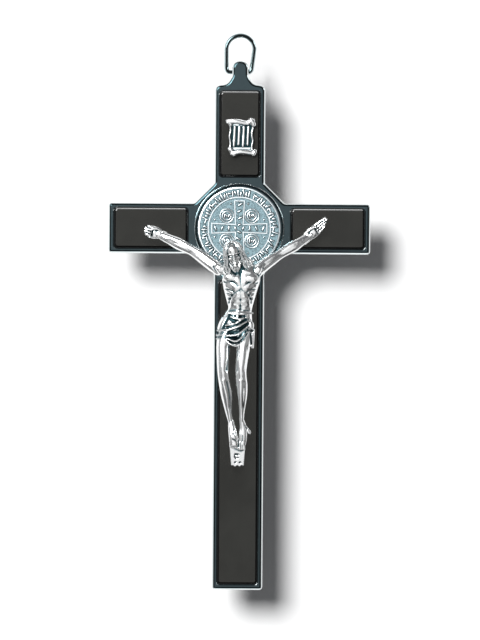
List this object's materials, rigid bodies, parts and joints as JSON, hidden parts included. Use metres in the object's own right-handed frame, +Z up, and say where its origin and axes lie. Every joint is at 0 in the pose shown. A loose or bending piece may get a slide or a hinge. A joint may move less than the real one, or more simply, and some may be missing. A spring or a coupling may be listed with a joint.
{
  "type": "wall crucifix",
  "caption": "Cast wall crucifix with black enamel inlays, a round relief medal at the crossing, a polished cast figure, a small scroll and a wire hanging ring.",
  "frame": {"origin": "on the flat back face, at the crossing of shaft and bar", "axes": "+X to the right as seen from the front, +Y backwards into the wall, +Z up the shaft; the figure looks along -Y"},
  "size_m": [0.0942, 0.0197, 0.2002],
  "materials": {
    "dark_plating": "mirror-bright nickel plating over die-cast metal, reads dark slate where it mirrors a dark surround",
    "black_enamel": "glossy black resin enamel with softly rounded edges",
    "antique_silver": "antique silver plating, dark in the recesses",
    "polished_silver": "bright polished silver plating",
    "bright_wire": "bright plated wire"
  },
  "bodies": {
    "cross": {"cross_body": "dark_plating", "inlay_top": "black_enamel", "inlay_left": "black_enamel", "inlay_right": "black_enamel", "inlay_bottom": "black_enamel", "medal": "antique_silver", "corpus": "polished_silver", "titulus": "polished_silver"},
    "ring": {"hanging_ring": "bright_wire"}
  },
  "joints": [
    {"name": "ring_swing", "type": "hinge", "parent": "cross", "child": "ring", "pos_m": [0, -0.0025, 0.0563], "axis": [1, 0, 0], "range_deg": [-135, 135]}
  ]
}
